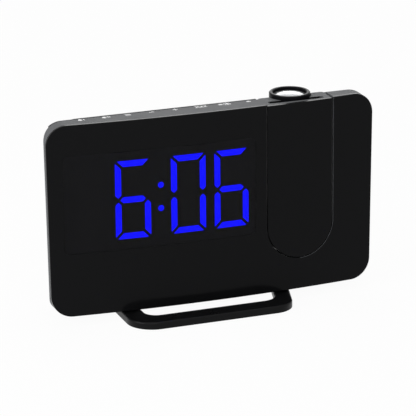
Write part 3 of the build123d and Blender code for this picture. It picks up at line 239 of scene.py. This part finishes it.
def alarm_one_mark(mesh):
    """A bell and one stroke."""
    bell(mesh)
    bar(mesh, 0.0022, 0.0, line, stroke_l)


def alarm_two_mark(mesh):
    """A bell and two strokes."""
    alarm_one_mark(mesh)
    bar(mesh, 0.0031, 0.0, line, stroke_l)


def mode_mark(mesh):
    """Three lines, one above the other."""
    line_gap, line_l = 0.0011, 0.0032
    for step in (-1, 0, 1):
        bar(mesh, 0.0, step * line_gap, line_l, line)


def minus_mark(mesh):
    """A minus sign."""
    bar(mesh, 0.0, 0.0, sign_l, sign_t)


def plus_mark(mesh):
    """A plus sign."""
    minus_mark(mesh)
    bar(mesh, 0.0, 0.0, sign_t, sign_l)


def snooze_mark(mesh):
    """Three letters Z, each smaller than the last."""
    half_h, letter_w, slant_l, slant = 0.0011, 0.0022, 0.0026, math.radians(46)
    for x, scale in ((-0.0022, 1.25), (0.0004, 1.0), (0.0025, 0.8)):
        for side in (-1, 1):
            bar(mesh, x, side * half_h * scale, letter_w * scale, line)
        bar(mesh, x, 0.0, slant_l * scale, line, slant)


def light_mark(mesh):
    """A small sun and a large one."""
    sun_w, ray_from_middle, ray_l, ray_count = 0.0014, 0.0015, 0.0010, 8
    for x, scale in ((-0.0022, 0.7), (0.0016, 1.15)):
        bar(mesh, x, 0.0, sun_w * scale, sun_w * scale, math.radians(45))
        reach = ray_from_middle * scale
        for ray in range(ray_count):
            angle = ray * math.tau / ray_count
            bar(mesh, x + reach * math.cos(angle), reach * math.sin(angle), ray_l * scale, line, angle)


def sound_mark(mesh):
    """A loudspeaker with one wave."""
    outline(mesh, (-0.0014, -0.0006), (-0.0007, -0.0006), (0.0002, -0.0014), (0.0002, 0.0014),
            (-0.0007, 0.0006), (-0.0014, 0.0006))
    bar(mesh, 0.0009, 0.0, line, 0.0013)


def fitted(name, mesh, material, body):
    """A finished shape as a piece of its own, riding on a body of the clock."""
    data = bpy.data.meshes.new(name)
    mesh.to_mesh(data)
    mesh.free()
    data.materials.append(material)
    piece = bpy.data.objects.new(name, data)
    bpy.context.scene.collection.objects.link(piece)
    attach(piece, body)
    return piece


def printed(name, mesh, facing, place):
    """Marks drawn flat, given the thickness of ink and laid on a face of the case."""
    bmesh.ops.transform(mesh, matrix=Matrix.Translation(place) @ facing.to_4x4(), verts=mesh.verts)
    piece = fitted(name, mesh, ink, "case")
    layer = piece.modifiers.new("ink", "SOLIDIFY")
    layer.thickness = ink_t
    layer.offset = 1.0


upwards = Matrix.Identity(3)
icons = (("alarm_one", alarm_one_mark, 0.0), ("alarm_two", alarm_two_mark, 0.0), ("mode", mode_mark, 0.0),
         ("minus", minus_mark, 0.0), ("plus", plus_mark, 0.0), ("snooze", snooze_mark, 0.0014),
         ("light", light_mark, 0.0014), ("sound", sound_mark, 0.0022))
for name, draw, shift in icons:
    key_low, key_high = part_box(name + "_key")
    icon = bmesh.new()
    draw(icon)
    printed(name + "_icon", icon, upwards, ((key_low[0] + key_high[0]) / 2 + shift, icon_y, top_z))


# ---------------------------------------------------------------- front panel
# Gloss-black acrylic over the whole front, and the arm's own piece of it, glued to the frames.
# Cut from sheet, bent to the bow of the front and polished, with a faint waviness left in it.
def acrylic(name):
    """Polished black acrylic sheet."""
    return moulded(name, (0.0050, 0.0051, 0.0056), 0.12, grain=0.012, grain_height=0.00001, patch=0.03,
                   edge=0.0004, level=0.06)


def with_painted_edge_highlight(material, colour, width, from_x):
    """A painted highlight on the sheet's cut edge: it is paler where it turns over, to the right of an x.
    """
    made, links = material.node_tree.nodes, material.node_tree.links
    rounded = made.new("ShaderNodeBevel")
    rounded.samples = 6
    rounded.inputs["Radius"].default_value = width
    flat = made.new("ShaderNodeNewGeometry")
    turned = made.new("ShaderNodeVectorMath")
    turned.operation = "DOT_PRODUCT"
    links.new(rounded.outputs["Normal"], turned.inputs[0])
    links.new(flat.outputs["True Normal"], turned.inputs[1])
    rim = made.new("ShaderNodeMapRange")
    rim.inputs["From Min"].default_value = 0.98
    rim.inputs["From Max"].default_value = 0.80
    links.new(turned.outputs["Value"], rim.inputs["Value"])
    where = made.new("ShaderNodeTexCoord")
    across = made.new("ShaderNodeSeparateXYZ")
    links.new(where.outputs["Object"], across.inputs["Vector"])
    beyond = made.new("ShaderNodeMath")
    beyond.operation = "GREATER_THAN"
    beyond.inputs[1].default_value = from_x
    links.new(across.outputs["X"], beyond.inputs[0])
    share = made.new("ShaderNodeMath")
    share.operation = "MULTIPLY"
    links.new(rim.outputs["Result"], share.inputs[0])
    links.new(beyond.outputs[0], share.inputs[1])
    base_colour = made["Principled BSDF"].inputs["Base Color"]
    paler = made.new("ShaderNodeMix")
    paler.data_type = "RGBA"
    paler.inputs["B"].default_value = (*colour, 1.0)
    links.new(share.outputs[0], paler.inputs["Factor"])
    links.new(base_colour.links[0].from_socket, paler.inputs["A"])
    links.new(paler.outputs["Result"], base_colour)
    return material


arm_low, arm_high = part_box("arm_panel")
arm_middle = (arm_low[0] + arm_high[0]) / 2
# Width and grey of the painted highlight along the front panel's cut edge.
painted_highlight_width = 0.0006
painted_highlight_grey = (0.13, 0.135, 0.145)
# The front panel gets the painted edge highlight; the arm's piece of the sheet has none.
dress(with_painted_edge_highlight(acrylic("gloss_black"), painted_highlight_grey, painted_highlight_width, arm_middle), "front_panel")
dress(acrylic("gloss_black_arm"), "arm_panel")


# ---------------------------------------------------------------- display
# Smoked acrylic window, flush with the panel, over a black moulded reflector with diffusers in it.
# The lit bars glow blue from LEDs behind them, and the dark ones can't be told from the reflector.
def polished_clear(name, colour, ior, transmission, patches, roughness, level=0.5):
    """See-through acrylic or glass, polished a little unevenly between two roughnesses."""
    material = bpy.data.materials.new(name)
    material.use_nodes = True
    made, links = material.node_tree.nodes, material.node_tree.links
    shader = made["Principled BSDF"]
    shader.inputs["Base Color"].default_value = (*colour, 1.0)
    shader.inputs["IOR"].default_value = ior
    shader.inputs["Specular IOR Level"].default_value = level
    shader.inputs["Transmission Weight"].default_value = transmission
    where = made.new("ShaderNodeTexCoord")
    cloud = made.new("ShaderNodeTexNoise")
    cloud.inputs["Scale"].default_value = patches
    links.new(where.outputs["Object"], cloud.inputs["Vector"])
    polish = made.new("ShaderNodeMapRange")
    polish.inputs["To Min"].default_value, polish.inputs["To Max"].default_value = roughness
    links.new(cloud.outputs["Fac"], polish.inputs["Value"])
    links.new(polish.outputs["Result"], shader.inputs["Roughness"])
    return material


smoke = polished_clear("smoked_acrylic", (0.16, 0.16, 0.18), ior=1.15, transmission=0.977,
                       patches=patches_per_metre, roughness=(0.0, 0.03))
dress(smoke, "display_window")

reflector = moulded("black_reflector", (0.004, 0.004, 0.004), 0.6, edge=0.0001, level=0.2)
dress(reflector, "display_mask", "dark_segments")

glow = bpy.data.materials.new("blue_glow")
glow.use_nodes = True
glow_nodes, glow_links = glow.node_tree.nodes, glow.node_tree.links
glow_shader = glow_nodes["Principled BSDF"]
glow_shader.inputs["Base Color"].default_value = (0.0, 0.0, 0.05, 1.0)
glow_shader.inputs["Roughness"].default_value = 0.5
glow_shader.inputs["Emission Strength"].default_value = 9.0
glow_where = glow_nodes.new("ShaderNodeTexCoord")
glow_grain = glow_nodes.new("ShaderNodeTexNoise")
glow_grain.inputs["Scale"].default_value = 900.0
glow_links.new(glow_where.outputs["Object"], glow_grain.inputs["Vector"])
glow_tone = glow_nodes.new("ShaderNodeMix")
glow_tone.data_type = "RGBA"
glow_tone.inputs["A"].default_value = (0.0, 0.0, 0.94, 1.0)
glow_tone.inputs["B"].default_value = (0.0, 0.0, 1.0, 1.0)
glow_links.new(glow_grain.outputs["Fac"], glow_tone.inputs["Factor"])
glow_links.new(glow_tone.outputs["Result"], glow_shader.inputs["Emission Color"])
dress(glow, "lit_segments")

# ---------------------------------------------------------------- rear shell and its keys
# Near-black ABS with a spark-eroded matt texture, closed by screws from behind.
# The keys are the same plastic, a shade lighter, and stand in their own openings on the slope.
dark_shell = moulded("dark_abs", (0.014, 0.0143, 0.0155), 0.6, grain=0.0005, grain_height=0.00002,
                     level=0.06)
dress(dark_shell, "rear_shell", "arm_cover", "cell_door", "power_inlet", "slide_knob", "cell_tray",
      "slide_switch")
key_plastic = moulded("key_abs", (0.055, 0.0565, 0.059), 0.45, grain=0.0004)
dress(key_plastic, *[name + "_key" for name, *_ in icons])

# ---------------------------------------------------------------- prints on the back
# ON and OFF beside the slide switch, one at each end of the knob's travel.
# The same white ink as the icons, printed on the flat of the rear shell.
backwards = Matrix(((-1, 0, 0), (0, 0, 1), (0, 1, 0)))
back_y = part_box("rear_shell")[1][1]


def words(mesh, text, x, y, height):
    """Plain capitals, centred on a point."""
    curve = bpy.data.curves.new(text, "FONT")
    curve.body = text
    curve.size = height
    curve.align_x = "CENTER"
    curve.align_y = "CENTER"
    curve.resolution_u = 3
    lettering = bpy.data.objects.new(text, curve)
    flat = bpy.data.meshes.new_from_object(lettering)
    flat.transform(Matrix.Translation((x, y, 0.0)))
    mesh.from_mesh(flat)
    bpy.data.objects.remove(lettering)
    bpy.data.curves.remove(curve)
    bpy.data.meshes.remove(flat)


knob_low, knob_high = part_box("slide_knob")
travel = next(joint for joint in frame["joints"] if joint["name"] == "switch_slide")["range_m"][1]
word_h = 0.0034
word_reach = 0.0085
switch_marks = bmesh.new()
words(switch_marks, "OFF", word_reach, 0.0, word_h)
words(switch_marks, "ON", -word_reach, 0.0, word_h)
printed("switch_words", switch_marks, backwards,
        ((knob_low[0] + knob_high[0] + travel) / 2, back_y, (knob_low[2] + knob_high[2]) / 2))

# ---------------------------------------------------------------- projector barrel
# Black moulded tube and fluted focus ring round a domed, coated lens.
# The ring drops over the tube from above and turns on it.
barrel_black = moulded("barrel_black", (0.0055, 0.0055, 0.0065), 0.3, level=0.04)
dress(barrel_black, "focus_ring", "lens_cell", "projector_tube", "image_carrier")
coated = polished_clear("coated_glass", (0.93, 0.95, 0.97), ior=1.62, transmission=0.55, patches=300.0,
                        roughness=(0.01, 0.05), level=0.9)
dress(coated, "projection_lens", "condenser_lens", "image_plate")

# ---------------------------------------------------------------- slot trim
# A grey moulding that fills the pocket of the arm's deck at both sides of the focus ring, and snaps in.
# A black strip along its front is painted shade: it stands where the slot's back wall lies in shadow, and
# makes the slot black.
ring_low, ring_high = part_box("focus_ring")
deck_back, deck_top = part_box("arm_frame")[1][1:]
ring_x, ring_y = (ring_low[0] + ring_high[0]) / 2, (ring_low[1] + ring_high[1]) / 2
ring_gap = 0.0005
trim_width = 0.00245
trim_t = 0.0024
slot_before_ring = 0.0085
trim_inner_r = (ring_high[0] - ring_low[0]) / 2 + ring_gap
trim_outer_r = trim_inner_r + trim_width
trim_front = ring_y - slot_before_ring
trim_facets = 96


def cut_square(mesh, y, facing):
    """Cut a shape off along a plane across the clock, and close the cut."""
    everything = mesh.verts[:] + mesh.edges[:] + mesh.faces[:]
    cut = bmesh.ops.bisect_plane(mesh, geom=everything, plane_co=(0.0, y, 0.0), plane_no=(0.0, facing, 0.0),
                                 clear_outer=True)
    rims = [item for item in cut["geom_cut"] if isinstance(item, bmesh.types.BMEdge)]
    bmesh.ops.edgeloop_fill(mesh, edges=rims)


trim = bmesh.new()
section = [trim.verts.new((ring_x + r, ring_y, deck_top - drop)) for r, drop in (
    (trim_inner_r, 0.0), (trim_outer_r, 0.0), (trim_outer_r, trim_t), (trim_inner_r, trim_t))]
section_edges = [trim.edges.new((section[step - 1], section[step])) for step in range(len(section))]
bmesh.ops.spin(trim, geom=section + section_edges, cent=(ring_x, ring_y, 0.0), axis=(0.0, 0.0, 1.0),
               angle=math.tau, steps=trim_facets, use_merge=True)
cut_square(trim, deck_back, 1.0)
cut_square(trim, trim_front, -1.0)
bmesh.ops.recalc_face_normals(trim, faces=trim.faces)
fitted("ring_trim", trim, silver, "arm")

# Near-black matt strip of painted shade along the slot's back wall.
shade_strip_black = moulded("painted_shade_black", (0.004, 0.004, 0.004), 0.95, grain=0.0002, grain_height=0.00005,
                     level=0.1)
shade_strip_t = 0.0005
shade_strip_drop = 0.0001
shade_strip_h = trim_t - shade_strip_drop
shade_strip_edge = 0.0001
shade_strip_inner_end = 0.0087
shade_strip_left_end, shade_strip_right_end = -0.0152, 0.0144
shade_strip = bmesh.new()
for shade_from, shade_to in ((shade_strip_left_end, -shade_strip_inner_end), (shade_strip_inner_end, shade_strip_right_end)):
    strip = bmesh.ops.create_cube(shade_strip, size=1.0)["verts"]
    bmesh.ops.scale(shade_strip, verts=strip, vec=(shade_to - shade_from, shade_strip_t, shade_strip_h))
    bmesh.ops.translate(shade_strip, verts=strip, vec=(
        ring_x + (shade_from + shade_to) / 2, trim_front - shade_strip_t / 2, deck_top - trim_t + shade_strip_h / 2))
bmesh.ops.bevel(shade_strip, geom=shade_strip.edges[:], offset=shade_strip_edge, segments=2, profile=0.5, affect="EDGES",
                material=-1)
bmesh.ops.recalc_face_normals(shade_strip, faces=shade_strip.faces)
fitted("slot_painted_shade", shade_strip, shade_strip_black, "arm")

# ---------------------------------------------------------------- foot
# A black satin loop, moulded in one piece and held to the case by screws from below.
# It stands on four rubber pads that are glued into round recesses in its underside.
foot_black = moulded("foot_black", (0.0042, 0.0043, 0.0047), 0.3, edge=0.0005, level=0.1)
dress(foot_black, "foot")
rubber = moulded("pad_rubber", (0.02, 0.02, 0.02), 0.8, grain=0.0006, grain_height=0.00003)
dress(rubber, "foot_pads")

# ---------------------------------------------------------------- boards and speaker
# Green boards with white LEDs, black components and switches, and a paper cone in a black basket.
# Most are screwed to posts inside the case, where they hardly show. The arm's bushes and washers
# are white resin like the LEDs.
board_green = moulded("solder_mask", (0.012, 0.11, 0.035), 0.35, grain=0.0008)
dress(board_green, "display_board", "key_board", "main_board", "slider_board", "led_board")
white_resin = moulded("led_resin", (0.8, 0.8, 0.72), 0.2)
dress(white_resin, "display_leds", "projector_led", "hinge_bushes", "friction_washers")
component_black = moulded("component_black", (0.02, 0.02, 0.02), 0.4)
dress(component_black, "board_components", "key_switches", "speaker_basket", "speaker_magnet")
paper = moulded("speaker_paper", (0.035, 0.033, 0.03), 0.9, grain=0.0004, grain_height=0.00004)
dress(paper, "speaker_cone")


# ---------------------------------------------------------------- metal parts
# Nickel-plated pins, cell and contact, a bright heat sink and black zinc screws, all finely grained.
# The hinge pins are pressed into the arm, and the screws cut their own thread in the plastic.
def plated(name, colour, roughness):
    """Plated steel with a fine grain."""
    material = moulded(name, colour, roughness, grain=0.0003)
    material.node_tree.nodes["Principled BSDF"].inputs["Metallic"].default_value = 1.0
    return material


nickel = plated("nickel_plate", (0.62, 0.61, 0.58), 0.25)
dress(nickel, "hinge_pins", "inlet_pin", "cell_contact", "coin_cell", "led_heatsink")
black_zinc = plated("black_zinc", (0.10, 0.10, 0.11), 0.35)
dress(black_zinc, "case_screws", "display_screws", "key_board_screws", "main_board_screws",
      "slider_board_screws", "cell_door_screw", "foot_screws", "arm_screws")
